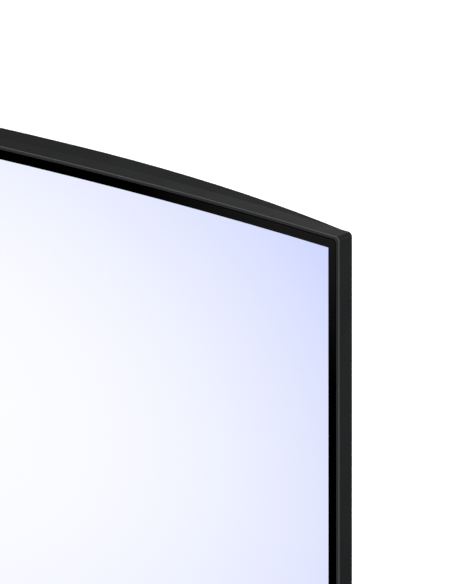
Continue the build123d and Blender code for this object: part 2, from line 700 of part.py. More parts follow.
# --- Lift ------------------------------------------------------------------------------------
GAS_TOP = CARRIAGE_LOW - LIFT_TRAVEL - 4.0
GAS_BOTTOM = 62.0
ROD_RADIUS = 4.0
PISTON_LOW = GAS_BOTTOM + 4.0 + LIFT_TRAVEL
RAIL_INSIDE = 22.5


def make_lift_carriage():
    body = block(-20, 20, COLUMN_Y - 12, COLUMN_Y + 10, CARRIAGE_LOW, CARRIAGE_HIGH)
    body -= block(-13, 13, COLUMN_Y - 6, COLUMN_Y + 11, CARRIAGE_LOW + 12, CARRIAGE_HIGH - 8)
    return body


def make_glide_pads():
    """Low-friction pads on the carriage's sides."""
    pads = []
    for side in (-1, 1):
        x0 = min(side * 20, side * (RAIL_INSIDE - FIT))
        x1 = max(side * 20, side * (RAIL_INSIDE - FIT))
        for z in (CARRIAGE_LOW + 4, CARRIAGE_HIGH - 18):
            pads.append(block(x0, x1, COLUMN_Y - 8, COLUMN_Y + 8, z, z + 14))
    return pads


def make_lift_rails():
    """Steel channels that guide the pads."""
    x1 = COLUMN_WIDTH / 2 - COLUMN_WALL
    back = COLUMN_Y + 11
    rail = block(RAIL_INSIDE, x1, COLUMN_Y - 11, back, GAS_BOTTOM, COLUMN_TOP - 6)
    stop_top = CARRIAGE_LOW - LIFT_TRAVEL - 6
    rail += block(RAIL_INSIDE - 2, x1, back - 3 + FIT, back, GAS_BOTTOM + 6, stop_top)
    return [rail, mirror_x(rail)]


def make_gas_spring_rod():
    rod = rod_z(0, COLUMN_Y, PISTON_LOW, CARRIAGE_LOW, ROD_RADIUS)
    return rod + rod_z(0, COLUMN_Y, PISTON_LOW, PISTON_LOW + 6, 8 - FIT)


def make_gas_spring_cylinder():
    """Closed tube with a foot plate, a bore for the piston and a guide for the rod."""
    tube = rod_z(0, COLUMN_Y, GAS_BOTTOM, GAS_TOP, 9.5)
    tube += rounded_slab_z(44, 32, 6, GAS_BOTTOM - 4, GAS_BOTTOM, COLUMN_Y)
    tube -= rod_z(0, COLUMN_Y, GAS_BOTTOM + 2, GAS_TOP - 4, 8)
    return tube - rod_z(0, COLUMN_Y, GAS_TOP - 5, GAS_TOP + 1, ROD_RADIUS + FIT)


# --- Column ----------------------------------------------------------------------------------
FOOT_TOP = 24.0
FOOT_BOTTOM = 16.5
SLOT_CORNER = 4.0


def make_column_shell():
    """Tall tube with the slot that the hinge arm travels in."""
    tube = rounded_slab_z(COLUMN_WIDTH, COLUMN_DEPTH, 11, FOOT_TOP, COLUMN_TOP, COLUMN_Y)
    inner_width = COLUMN_WIDTH - 2 * COLUMN_WALL
    inner_depth = COLUMN_DEPTH - 2 * COLUMN_WALL
    tube -= rounded_slab_z(inner_width, inner_depth, 2.5, FOOT_TOP - 1, COLUMN_TOP + 1, COLUMN_Y)
    slot = block(
        -12.6, 12.6, COLUMN_Y - COLUMN_DEPTH, COLUMN_Y - 15.0,
        HINGE_Z - 9 - LIFT_TRAVEL - SLOT_CORNER, HINGE_Z + 9 + LIFT_TRAVEL + SLOT_CORNER,
    )
    slot = fillet(slot.edges().filter_by(Axis.Y), SLOT_CORNER)
    return tube - slot


def make_column_cap():
    top = rounded_slab_z(COLUMN_WIDTH, COLUMN_DEPTH, 11, COLUMN_TOP, COLUMN_TOP + 3, COLUMN_Y)
    top = fillet(top.edges().group_by(Axis.Z)[-1], 2)
    skirt_width = COLUMN_WIDTH - 2 * COLUMN_WALL - 0.2
    skirt_depth = COLUMN_DEPTH - 2 * COLUMN_WALL - 0.2
    skirt = rounded_slab_z(skirt_width, skirt_depth, 2.4, COLUMN_TOP - 5, COLUMN_TOP, COLUMN_Y)
    skirt -= rounded_slab_z(skirt_width - 4, skirt_depth - 4, 1.5, COLUMN_TOP - 6, COLUMN_TOP, COLUMN_Y)
    return top + skirt


def make_cable_clip():
    """Open ring behind the column that holds the cables."""
    y = COLUMN_Y + COLUMN_DEPTH / 2
    z = 118.0
    centre_y = y + 17.5
    ring = rod_z(0, centre_y, z - 8, z + 8, 17)
    ring += block(-9, 9, y, y + 3, z - 8, z + 8)
    ring -= rod_z(0, centre_y, z - 9, z + 9, 14.5)
    return ring - block(-6, 6, centre_y, centre_y + 20, z - 9, z + 9)


JOURNAL_RADIUS = 13.0
RING_LOW = 30.5


def make_column_foot():
    """Disc that turns on the hub, with the socket that holds the column."""
    foot = rod_z(0, COLUMN_Y, FOOT_BOTTOM, FOOT_TOP, 47)
    foot = fillet(foot.edges().group_by(Axis.Z)[-1], 2)
    width = COLUMN_WIDTH - 2 * COLUMN_WALL
    depth = COLUMN_DEPTH - 2 * COLUMN_WALL
    foot += rounded_slab_z(width, depth, 2.5, FOOT_TOP, GAS_BOTTOM - 4, COLUMN_Y)
    foot -= rod_z(0, COLUMN_Y, FOOT_BOTTOM - 1, RING_LOW, JOURNAL_RADIUS + FIT)
    return foot - rod_z(0, COLUMN_Y, RING_LOW - 0.5, GAS_BOTTOM, 16)


# --- Base ------------------------------------------------------------------------------------
SCREW_HOLE = 3.0
SCREW_GAP = 0.05
BASE_SCREW_SPOTS = [(-84, -96), (0, -96), (84, -96), (-84, 96), (84, 96)]


def make_swivel_hub():
    """Disc fixed on the base plate, with the journal that the column foot turns on."""
    hub = rod_z(0, COLUMN_Y, PLATE_TOP, 16, 44)
    hub += rod_z(0, COLUMN_Y, 16, 37, JOURNAL_RADIUS)
    for x in (-30, 30):
        hub += rod_z(x, COLUMN_Y, PLATE_BOTTOM + 0.5, PLATE_TOP, 3)
    return hub - rod_z(0, COLUMN_Y, PLATE_BOTTOM, 28, SCREW_HOLE)


def make_swivel_washer():
    ring = rod_z(0, COLUMN_Y, 16, FOOT_BOTTOM - 0.02, 40)
    return ring - rod_z(0, COLUMN_Y, 15, 17, JOURNAL_RADIUS + FIT)


def make_swivel_ring():
    """Threaded ring that keeps the foot on the journal."""
    ring = rod_z(0, COLUMN_Y, RING_LOW, RING_LOW + 4, 15.4)
    ring -= rod_z(0, COLUMN_Y, RING_LOW - 1, RING_LOW + 5, JOURNAL_RADIUS)
    for x in (-14.6, 14.6):
        ring -= rod_z(x, COLUMN_Y, RING_LOW + 2, RING_LOW + 5, 0.9)
    return ring


def make_base_plate():
    """Steel weight inside the base."""
    plate = rounded_slab_z(BASE_WIDTH - 6, BASE_DEPTH - 6, BASE_CORNER - 3, PLATE_BOTTOM, PLATE_TOP)
    plate -= rod_z(0, COLUMN_Y, PLATE_BOTTOM - 1, PLATE_TOP + 1, 4.5)
    for x in (-30, 30):
        plate -= rod_z(x, COLUMN_Y, PLATE_BOTTOM - 1, PLATE_TOP + 1, 3 + FIT)
    for x, y in BASE_SCREW_SPOTS:
        plate -= rod_z(x, y, PLATE_BOTTOM - 1, PLATE_TOP + 1, 1.7)
    return plate


def make_base_cover():
    """Moulded cover over the steel plate, open in the middle for the hub."""
    cover = rounded_slab_z(BASE_WIDTH, BASE_DEPTH, BASE_CORNER, 2, BASE_TOP)
    cover = fillet(cover.edges().group_by(Axis.Z)[-1], 3)
    cover -= rounded_slab_z(BASE_WIDTH - 5, BASE_DEPTH - 5, BASE_CORNER - 2.5, 1, BASE_TOP - 2)
    cover -= rod_z(0, COLUMN_Y, 0, BASE_TOP + 1, 45)
    for x, y in BASE_SCREW_SPOTS:
        cover += rod_z(x, y, PLATE_TOP, BASE_TOP - 1.5, 4)
        cover -= rod_z(x, y, PLATE_TOP - 1, BASE_TOP - 1.2, 1.5)
    return cover


def make_base_screws():
    screws = []
    for x, y in BASE_SCREW_SPOTS:
        head = rod_z(x, y, PLATE_BOTTOM - 1.8, PLATE_BOTTOM, 3.2)
        head -= block(x - 2, x + 2, y - 0.35, y + 0.35, PLATE_BOTTOM - 2, PLATE_BOTTOM - 0.9)
        head -= block(x - 0.35, x + 0.35, y - 2, y + 2, PLATE_BOTTOM - 2, PLATE_BOTTOM - 0.9)
        screws.append(head + rod_z(x, y, PLATE_BOTTOM, BASE_TOP - 2, 1.45))
    return screws


def make_rubber_feet():
    feet = []
    for x in (-106, 106):
        for y in (-100, 100):
            foot = rod_z(x, y, 0, PLATE_BOTTOM, 9)
            feet.append(fillet(foot.edges().group_by(Axis.Z)[0], 1))
    return feet


RING_Z = 2.1
WIRE = 0.9


def make_thumbscrew():
    """Screw under the base that clamps the hub, with lugs for its folding ring."""
    head = rod_z(0, COLUMN_Y, 3.2, PLATE_BOTTOM - 0.05, 14)
    shank = rod_z(0, COLUMN_Y, 3.2, 26, SCREW_HOLE - SCREW_GAP)
    lugs = block(-13, -11, COLUMN_Y - 1.7, COLUMN_Y + 1.7, 0.6, 3.3)
    lugs += block(11, 13, COLUMN_Y - 1.7, COLUMN_Y + 1.7, 0.6, 3.3)
    head = fillet(head.edges().group_by(Axis.Z)[0], 0.5)
    return head + shank + lugs - rod_x(-20, 20, COLUMN_Y, RING_Z, WIRE + FIT)


def make_thumbscrew_ring():
    """Wire ring, flat under the screw's head, that folds down for a finger."""
    arm = 9.5
    reach = 7.0
    left = Line((-12.8, COLUMN_Y), (-arm, COLUMN_Y))
    down_left = Line((-arm, COLUMN_Y), (-arm, COLUMN_Y - reach))
    bow = ThreePointArc((-arm, COLUMN_Y - reach), (0, COLUMN_Y - reach - arm), (arm, COLUMN_Y - reach))
    down_right = Line((arm, COLUMN_Y - reach), (arm, COLUMN_Y))
    right = Line((arm, COLUMN_Y), (12.8, COLUMN_Y))
    path = Pos(0, 0, RING_Z) * Wire([left, down_left, bow, down_right, right])
    profile = Plane(origin=path @ 0, z_dir=path % 0) * Circle(WIRE)
    return sweep(profile, path=path, transition=Transition.ROUND)


def build():
    save("front_frame", make_front_frame())
    save("chin_cover", make_chin_cover())
    save("status_led_lens", led_rod(1.2, 0, 4))
    save("lcd_cell", make_lcd_cell())
    save("optical_films", *make_optical_films())
    save("light_guide_plate", sheet(GUIDE_FRONT, GUIDE_BACK, FILM_MARGIN, FILM_LOW))
    reflector_front = GUIDE_BACK + 0.1
    save("reflector_sheet", sheet(reflector_front, reflector_front + 0.25, FILM_MARGIN, FILM_LOW))
    save("led_bar", *make_led_bar())
    save("mold_frame", make_mold_frame())
    save("panel_backplate", make_panel_backplate())
    save("source_boards", *make_source_boards())
    save("flex_ties", *make_flex_ties())

    save("main_board", make_main_board())
    save("led_driver_board", make_led_driver_board())
    save("hdmi_sockets", *[video_socket(x, HDMI_SIZE) for x in HDMI_X])
    save("displayport_socket", video_socket(DISPLAYPORT_X, DISPLAYPORT_SIZE))
    save("audio_socket", make_audio_socket())
    save("dc_power_socket", make_dc_power_socket())
    save("electronics_shield", make_electronics_shield())
    save("ribbon_cable", make_ribbon_cable())
    save("board_screws", *make_board_screws())
    save("shield_screws", *make_shield_screws())

    save("joystick_housing", make_joystick_housing())
    save("joystick_gimbal", make_joystick_gimbal())
    save("joystick_cradle", make_joystick_cradle())
    save("joystick_cap", make_joystick_cap())
    save("rear_cover", make_rear_cover())
    save("rear_cover_screws", *make_rear_cover_screws())

    save("vesa_bracket", make_vesa_bracket())
    save("bracket_screws", *make_bracket_screws())
    save("stand_bracket", make_stand_bracket())
    save("latch_button", make_latch_button())
    save("latch_spring", make_latch_spring())
    save("tilt_shaft", make_tilt_shaft())
    save("tilt_nuts", *make_tilt_nuts())
    save("friction_washers", *make_friction_washers())
    save("tilt_springs", *make_tilt_springs())
    save("hinge_caps", *make_hinge_caps())
    save("hinge_yoke", make_hinge_yoke())

    save("lift_carriage", make_lift_carriage())
    save("glide_pads", *make_glide_pads())
    save("gas_spring_rod", make_gas_spring_rod())
    save("gas_spring_cylinder", make_gas_spring_cylinder())
    save("lift_rails", *make_lift_rails())
    save("column_shell", make_column_shell())
    save("column_cap", make_column_cap())
    save("column_foot", make_column_foot())
    save("cable_clip", make_cable_clip())

    save("swivel_washer", make_swivel_washer())
    save("swivel_ring", make_swivel_ring())
    save("swivel_hub", make_swivel_hub())
    save("base_plate", make_base_plate())
    save("base_cover", make_base_cover())
    save("base_screws", *make_base_screws())
    save("rubber_feet", *make_rubber_feet())
    save("thumbscrew", make_thumbscrew())
    save("thumbscrew_ring", make_thumbscrew_ring())


os.makedirs("parts", exist_ok=True)
build()
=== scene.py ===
import json
import math

import bmesh
import bpy
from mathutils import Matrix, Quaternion, Vector


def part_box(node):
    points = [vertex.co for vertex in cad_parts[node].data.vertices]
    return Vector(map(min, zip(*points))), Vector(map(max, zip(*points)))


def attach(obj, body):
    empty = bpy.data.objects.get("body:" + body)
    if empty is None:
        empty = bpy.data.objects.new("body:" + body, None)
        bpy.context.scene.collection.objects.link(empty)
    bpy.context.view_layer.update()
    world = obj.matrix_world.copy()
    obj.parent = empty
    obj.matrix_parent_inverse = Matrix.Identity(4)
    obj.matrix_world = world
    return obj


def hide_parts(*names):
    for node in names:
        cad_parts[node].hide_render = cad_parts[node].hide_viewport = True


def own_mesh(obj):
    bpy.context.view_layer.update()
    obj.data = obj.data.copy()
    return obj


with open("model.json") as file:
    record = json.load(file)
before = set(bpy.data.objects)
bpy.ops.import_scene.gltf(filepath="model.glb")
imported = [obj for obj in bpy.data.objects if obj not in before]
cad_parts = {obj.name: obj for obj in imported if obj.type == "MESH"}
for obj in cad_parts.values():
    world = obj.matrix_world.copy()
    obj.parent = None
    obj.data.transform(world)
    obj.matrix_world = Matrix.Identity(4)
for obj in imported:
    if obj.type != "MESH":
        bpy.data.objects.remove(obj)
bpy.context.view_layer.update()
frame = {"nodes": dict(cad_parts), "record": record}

MM = 0.001

# --- Places shared with the CAD model ------------------------------------------------------
CELL_LOW, CELL_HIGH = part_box("lcd_cell")
PANEL_RADIUS = 1800 * MM
BLACK_BORDER = 4.9 * MM
GLASS_THICKNESS = 1.4 * MM
EDGE_ANGLE = math.asin(CELL_HIGH.x / (PANEL_RADIUS + GLASS_THICKNESS))
ACTIVE_HALF = PANEL_RADIUS * math.sin(EDGE_ANGLE - BLACK_BORDER / PANEL_RADIUS)
ACTIVE_LOW = CELL_LOW.z + BLACK_BORDER
ACTIVE_HIGH = CELL_HIGH.z - BLACK_BORDER
BOARD_FACE = -49.0 * MM
HINGE_HEIGHT = 268 * MM
VESA_HALF = 50 * MM
BOSS_FACE = -22.2 * MM
TONGUES = ((-66, -46.2), (-40, -46.2), (-12, -46.1))    # X and Y of each video socket, in millimetres
CONTACT_HEIGHT = 154.2
CONTACT_PITCH = 0.95
DISH_RADIUS = 18.0                                      # hollow in the end of the control stick's cap
DISH_DEPTH = 0.45
CLIP_RING = 17.5                                        # from the cable clip's root to its ring's middle
LOCK_PLACE = (-205.0, -53.2, 112.0)                     # middle of the security slot's mouth, in millimetres
LOCK_SLOPE = 0.19                                       # slant of the rear cover there


def linear(level):
    """Light level of an 8-bit display value."""
    value = level / 255
    return value / 12.92 if value <= 0.04045 else ((value + 0.055) / 1.055) ** 2.4


def colour(red, green, blue):
    """Display colour, 0 to 255 in each channel, as the renderer wants it."""
    return (linear(red), linear(green), linear(blue), 1.0)


def scaled(rgba, factor):
    return (rgba[0] * factor, rgba[1] * factor, rgba[2] * factor, 1.0)


# --- Node tree helper ----------------------------------------------------------------------
class Shader:
    """A material's node tree, with short calls that return output sockets."""

    def __init__(self, name):
        self.material = bpy.data.materials.new(name)
        self.material.use_nodes = True
        self.tree = self.material.node_tree
        self.tree.nodes.clear()
        self.output = self.tree.nodes.new("ShaderNodeOutputMaterial")
        self.bsdf = self.tree.nodes.new("ShaderNodeBsdfPrincipled")
        self.tree.links.new(self.bsdf.outputs["BSDF"], self.output.inputs["Surface"])

    def feed(self, socket, value):
        """Set an input to a number or colour, or link another node to it."""
        if isinstance(value, bpy.types.NodeSocket):
            self.tree.links.new(value, socket)
        else:
            socket.default_value = value

    def set(self, **inputs):
        for name, value in inputs.items():
            self.feed(self.bsdf.inputs[name.replace("_", " ")], value)

    def place(self):
        """Position in the part's own frame, so that a pattern moves with its piece."""
        return self.tree.nodes.new("ShaderNodeTexCoord").outputs["Object"]

    def seen_directly(self):
        """1 for what the camera sees itself, 0 for reflections and bounced light."""
        return self.tree.nodes.new("ShaderNodeLightPath").outputs["Is Camera Ray"]

    def stretch(self, vector, factors):
        node = self.tree.nodes.new("ShaderNodeVectorMath")
        node.operation = "MULTIPLY"
        self.feed(node.inputs[0], vector)
        node.inputs[1].default_value = factors
        return node.outputs[0]

    def axis(self, vector, letter):
        node = self.tree.nodes.new("ShaderNodeSeparateXYZ")
        self.feed(node.inputs[0], vector)
        return node.outputs[letter]

    def math(self, operation, first, second=0.0, clamp=False):
        node = self.tree.nodes.new("ShaderNodeMath")
        node.operation = operation
        node.use_clamp = clamp
        self.feed(node.inputs[0], first)
        self.feed(node.inputs[1], second)
        return node.outputs[0]

    def noise(self, vector, scale, detail=2.0, roughness=0.5):
        node = self.tree.nodes.new("ShaderNodeTexNoise")
        self.feed(node.inputs["Vector"], vector)
        node.inputs["Scale"].default_value = scale
        node.inputs["Detail"].default_value = detail
        node.inputs["Roughness"].default_value = roughness
        return node.outputs["Fac"]

    def cells(self, vector, scale, feature="F1", output="Distance"):
        node = self.tree.nodes.new("ShaderNodeTexVoronoi")
        node.feature = feature
        self.feed(node.inputs["Vector"], vector)
        node.inputs["Scale"].default_value = scale
        return node.outputs[output]

    def wave(self, vector, scale, direction, distortion=0.0):
        node = self.tree.nodes.new("ShaderNodeTexWave")
        node.bands_direction = direction
        self.feed(node.inputs["Vector"], vector)
        node.inputs["Scale"].default_value = scale
        node.inputs["Distortion"].default_value = distortion
        return node.outputs["Fac"]

    def span(self, value, low, high, out_low=0.0, out_high=1.0):
        """Map a range of values to another, clamped at both ends."""
        node = self.tree.nodes.new("ShaderNodeMapRange")
        self.feed(node.inputs["Value"], value)
        node.inputs["From Min"].default_value = low
        node.inputs["From Max"].default_value = high
        node.inputs["To Min"].default_value = out_low
        node.inputs["To Max"].default_value = out_high
        return node.outputs["Result"]

    def mix(self, factor, first, second):
        node = self.tree.nodes.new("ShaderNodeMix")
        node.data_type = "RGBA"
        self.feed(node.inputs["Factor"], factor)
        self.feed(node.inputs["A"], first)
        self.feed(node.inputs["B"], second)
        return node.outputs["Result"]

    def ramp(self, value, stops):
        node = self.tree.nodes.new("ShaderNodeValToRGB")
        self.feed(node.inputs["Fac"], value)
        points = node.color_ramp.elements
        while len(points) < len(stops):
            points.new(0.5)
        for point, (position, rgba) in zip(points, stops):
            point.position = position
            point.color = rgba
        return node.outputs["Color"]

    def rounded_normal(self, radius):
        """Normal that rounds sharp edges over a radius."""
        node = self.tree.nodes.new("ShaderNodeBevel")
        node.samples = 6
        node.inputs["Radius"].default_value = radius
        return node.outputs["Normal"]

    def edges(self, radius):
        """1 along sharp edges and 0 on flat stretches."""
        rounded = self.rounded_normal(radius)
        flat = self.tree.nodes.new("ShaderNodeNewGeometry").outputs["Normal"]
        node = self.tree.nodes.new("ShaderNodeVectorMath")
        node.operation = "DOT_PRODUCT"
        self.feed(node.inputs[0], rounded)
        self.feed(node.inputs[1], flat)
        return self.span(node.outputs["Value"], 0.99, 0.80)

    def facing_front(self):
        """1 where the surface looks straight out of the screen, 0 on the head's outer walls."""
        normal = self.tree.nodes.new("ShaderNodeTexCoord").outputs["Normal"]
        return self.math("MULTIPLY", self.axis(normal, "Y"), -1.0)

    def bump(self, height, distance, strength=1.0, normal=None):
        node = self.tree.nodes.new("ShaderNodeBump")
        node.inputs["Strength"].default_value = strength
        node.inputs["Distance"].default_value = distance
        self.feed(node.inputs["Height"], height)
        if normal is not None:
            self.feed(node.inputs["Normal"], normal)
        return node.outputs["Normal"]


# --- Materials -----------------------------------------------------------------------------
def moulded(name, rgba, roughness, grain, depth, specular=0.5, edge=0.4 * MM, wear=1.6, painted_lip_light=None):
    """Moulded plastic with a spark-eroded grain, uneven sheen and slightly polished edges.

    The painted lip light, if given, is a pair of colours painted as light: a lighter front face and a
    painted highlight along its rounded outer edge.
    """
    s = Shader(name)
    place = s.place()
    grains = s.cells(place, 1 / grain)
    dust = s.noise(place, 3 / grain, 3.0)
    height = s.math("ADD", s.math("MULTIPLY", grains, 0.7), s.math("MULTIPLY", dust, 0.5))
    cloud = s.noise(place, 18, 4.0)
    tone = s.mix(s.span(cloud, 0.3, 0.7), scaled(rgba, 0.9), scaled(rgba, 1.1))
    # Painted light: the front-facing lip is coloured lighter as if lit from the front, and its rounded outer
    # edge gets a painted highlight.
    if painted_lip_light:
        front = s.facing_front()
        tone = s.mix(s.span(front, 0.85, 0.95), tone, painted_lip_light[0])
        rounded = s.math("MULTIPLY", s.span(front, 0.2, 0.45), s.span(front, 0.96, 0.85))
        tone = s.mix(rounded, tone, painted_lip_light[1])
    worn = s.math("MULTIPLY", s.edges(edge), s.span(s.noise(place, 240, 3.0), 0.35, 0.6))
    s.set(Base_Color=s.mix(worn, tone, scaled(rgba, wear)))
    rough = s.span(s.noise(place, 45, 5.0), 0.3, 0.7, roughness - 0.06, roughness + 0.06)
    s.set(Roughness=s.math("SUBTRACT", rough, s.math("MULTIPLY", worn, 0.08)))
    s.set(Specular_IOR_Level=specular)
    s.set(Normal=s.bump(height, depth, 0.6, s.rounded_normal(edge)))
    return s.material


def coated_steel(name, rgba, roughness=0.45, specular=0.4):
    """Powder-coated steel with orange peel and edges rubbed a little brighter."""
    s = Shader(name)
    place = s.place()
    peel = s.noise(place, 900, 2.0)
    speck = s.span(s.noise(place, 2600, 1.0), 0.62, 0.75)
    worn = s.math("MULTIPLY", s.edges(0.5 * MM), s.span(s.noise(place, 160, 4.0), 0.4, 0.62))
    tone = s.mix(speck, rgba, scaled(rgba, 1.7))
    s.set(Base_Color=s.mix(worn, tone, scaled(rgba, 3.0)))
    s.set(Roughness=s.span(s.noise(place, 60, 4.0), 0.3, 0.7, roughness - 0.05, roughness + 0.08))
    s.set(Specular_IOR_Level=specular)
    s.set(Normal=s.bump(peel, 0.05 * MM, 0.5, s.rounded_normal(0.4 * MM)))
    return s.material


def zinc_sheet(name, rgba):
    """Zinc-plated sheet steel with faint spangle and rolling marks."""
    s = Shader(name)
    place = s.place()
    spangle = s.cells(place, 160, output="Color")
    streaks = s.noise(s.stretch(place, (40, 900, 900)), 1.0, 3.0)
    tone = s.mix(s.span(s.axis(spangle, "X"), 0, 1, 0, 0.35), rgba, scaled(rgba, 0.7))
    tone = s.mix(s.edges(0.3 * MM), tone, scaled(rgba, 1.25))
    s.set(Base_Color=tone, Metallic=1.0)
    s.set(Roughness=s.span(streaks, 0.3, 0.7, 0.28, 0.5))
    s.set(Normal=s.bump(streaks, 0.02 * MM, 0.4, s.rounded_normal(0.25 * MM)))
    return s.material


def machined(name, rgba, roughness=0.25, marks=1.0):
    """Turned or drawn steel with fine tool marks."""
    s = Shader(name)
    place = s.place()
    lines = s.noise(s.stretch(place, (3000, 3000, 600)), 1.0, 2.0)
    smudge = s.noise(place, 90, 4.0)
    tone = s.mix(s.span(smudge, 0.35, 0.65), rgba, scaled(rgba, 0.8))
    tone = s.mix(s.edges(0.25 * MM), tone, scaled(rgba, 1.3))
    s.set(Base_Color=tone, Metallic=1.0)
    s.set(Roughness=s.span(smudge, 0.3, 0.7, roughness - 0.06, roughness + 0.12))
    s.set(Normal=s.bump(lines, 0.01 * MM * marks, 0.5, s.rounded_normal(0.25 * MM)))
    return s.material


def die_cast(name, rgba):
    """Grey cast alloy, slightly grainy."""
    s = Shader(name)
    place = s.place()
    sand = s.noise(place, 1400, 4.0)
    tone = s.mix(s.span(s.noise(place, 70, 3.0), 0.3, 0.7), rgba, scaled(rgba, 0.8))
    tone = s.mix(s.edges(0.6 * MM), tone, scaled(rgba, 1.3))
    s.set(Base_Color=tone, Metallic=0.9)
    s.set(Roughness=s.span(sand, 0.3, 0.7, 0.38, 0.55))
    s.set(Normal=s.bump(sand, 0.05 * MM, 0.6, s.rounded_normal(0.5 * MM)))
    return s.material


def rubber(name):
    """Dark rubber with a stippled skin."""
    s = Shader(name)
    place = s.place()
    stipple = s.cells(place, 1400)
    s.set(Base_Color=s.mix(s.noise(place, 120, 3.0), colour(28, 28, 29), colour(44, 43, 42)))
    s.set(Roughness=s.span(stipple, 0, 0.6, 0.72, 0.9), Specular_IOR_Level=0.3)
    s.set(Normal=s.bump(stipple, 0.08 * MM, 0.7, s.rounded_normal(0.4 * MM)))
    return s.material


def circuit_board(name):
    """Green solder mask with copper runs under it, and black or silver packages above it."""
    s = Shader(name)
    place = s.place()
    runs_x = s.wave(place, 190, "X", 1.5)
    runs_z = s.wave(place, 150, "Z", 1.5)
    patch = s.span(s.noise(place, 45, 1.0), 0.48, 0.52)
    runs = s.span(s.mix(patch, runs_x, runs_z), 0.55, 0.62)
    green = s.mix(runs, colour(10, 62, 38), colour(24, 96, 58))
    pads = s.span(s.cells(place, 420), 0.16, 0.12)
    mask = s.mix(s.math("MULTIPLY", pads, patch), green, colour(196, 190, 170))
    above = s.span(s.axis(place, "Y"), BOARD_FACE + 0.1 * MM, BOARD_FACE + 0.15 * MM)
    package = s.mix(s.span(s.noise(place, 900, 2.0), 0.4, 0.6), colour(24, 24, 25), colour(34, 34, 35))
    s.set(Base_Color=s.mix(above, mask, package))
    s.set(Roughness=s.math("ADD", s.math("MULTIPLY", above, 0.25), 0.3))
    s.set(Normal=s.bump(runs, 0.03 * MM, 0.5, s.rounded_normal(0.2 * MM)))
    return s.material


def amber_film(name):
    """Polyimide film with fine copper lines."""
    s = Shader(name)
    place = s.place()
    lines = s.span(s.wave(place, 900, "X"), 0.4, 0.6)
    s.set(Base_Color=s.mix(lines, colour(150, 92, 26), colour(196, 130, 52)))
    s.set(Roughness=s.span(s.noise(place, 200, 3.0), 0.3, 0.7, 0.25, 0.4))
    s.set(Normal=s.bump(lines, 0.02 * MM, 0.5))
    return s.material


def pale_plastic(name, rgba, roughness=0.5):
    """White or milky plastic with a soft cloud and a fine grain."""
    s = Shader(name)
    place = s.place()
    fine = s.noise(place, 2200, 2.0)
    s.set(Base_Color=s.mix(s.noise(place, 60, 3.0), scaled(rgba, 0.93), rgba))
    s.set(Roughness=s.span(fine, 0.3, 0.7, roughness - 0.05, roughness + 0.08))
    s.set(Normal=s.bump(fine, 0.02 * MM, 0.4, s.rounded_normal(0.2 * MM)))
    return s.material


def clear_acrylic(name):
    """Edge-lit light guide with its grid of printed dots."""
    s = Shader(name)
    place = s.place()
    dots = s.span(s.cells(place, 700), 0.2, 0.3)
    s.set(Base_Color=s.mix(dots, colour(246, 248, 250), colour(226, 238, 238)))
    s.set(Roughness=s.span(dots, 0, 1, 0.4, 0.06), Transmission_Weight=0.6, IOR=1.49)
    s.set(Normal=s.bump(dots, 0.02 * MM, 0.3))
    return s.material


def picture_light(s, place):
    """Colour of the lit picture: a white glow near the middle that cools towards the corners."""
    glow_x, glow_z = -20 * MM, 303 * MM
    spread_x, spread_z = 300 * MM, 194 * MM
    across = s.math("DIVIDE", s.math("SUBTRACT", s.axis(place, "X"), glow_x), spread_x)
    upward = s.math("DIVIDE", s.math("SUBTRACT", s.axis(place, "Z"), glow_z), spread_z)
    squared = s.math("ADD", s.math("MULTIPLY", across, across), s.math("MULTIPLY", upward, upward))
    fade = s.math("POWER", squared, 1.155)
    return s.ramp(s.math("DIVIDE", fade, 2.4), [
        (0.0, colour(253, 254, 255)),
        (0.13, colour(247, 248, 255)),
        (0.31, colour(235, 238, 255)),
        (0.50, colour(223, 228, 255)),
        (0.70, colour(210, 217, 255)),
        (1.0, colour(192, 203, 255)),
    ])


def painted_border_sheen(s, place):
    """Near-black border ink with a painted sheen that lightens it towards the upper corners."""
    # Painted sheen: the ink is lightened towards both upper corners, where a lamp's glint would fall.
    sideways = s.span(s.math("ABSOLUTE", s.axis(place, "X")), 165 * MM, CELL_HIGH.x - 40 * MM)
    upward = s.span(s.axis(place, "Z"), CELL_HIGH.z - 88 * MM, CELL_HIGH.z)
    sheen = s.math("MULTIPLY", sideways, s.math("POWER", upward, 1.3))
    return s.mix(sheen, (0.0, 0.0, 0.0, 1), (0.0108, 0.0108, 0.0111, 1))


def screen_glass(name):
    """Anti-glare glass: lit picture inside a black border with a painted sheen at its upper corners."""
    s = Shader(name)
    place = s.place()
    inside_x = s.math("LESS_THAN", s.math("ABSOLUTE", s.axis(place, "X")), ACTIVE_HALF)
    above = s.math("GREATER_THAN", s.axis(place, "Z"), ACTIVE_LOW)
    below = s.math("LESS_THAN", s.axis(place, "Z"), ACTIVE_HIGH)
    lit = s.math("MULTIPLY", inside_x, s.math("MULTIPLY", above, below))
    sparkle = s.noise(place, 5200, 1.0)
    # The border's base colour carries a painted sheen towards its upper corners.
    s.set(Base_Color=painted_border_sheen(s, place), Roughness=s.span(sparkle, 0.3, 0.7, 0.16, 0.24))
    s.set(Specular_IOR_Level=0.004)
    s.set(Emission_Color=picture_light(s, place), Emission_Strength=lit)
    s.set(Normal=s.bump(sparkle, 0.004 * MM, 0.3))
    return s.material


def lens(name):
    """Frosted lens of the status light, faintly lit."""
    s = Shader(name)
    place = s.place()
    frost = s.noise(place, 3000, 2.0)
    s.set(Base_Color=s.mix(frost, colour(206, 214, 222), colour(236, 240, 245)))
    s.set(Roughness=s.span(frost, 0.3, 0.7, 0.25, 0.4))
    s.set(Emission_Color=colour(225, 236, 255), Emission_Strength=0.6)
    s.set(Normal=s.bump(frost, 0.02 * MM, 0.4))
    return s.material


FLOOR_LIFT = 0.30                # keeps the pale floor near white where the camera sees it
FLOOR_BOUNCE = (0.22, 0.22, 0.22, 1)   # what it throws back, as if flagged off from the black plastics


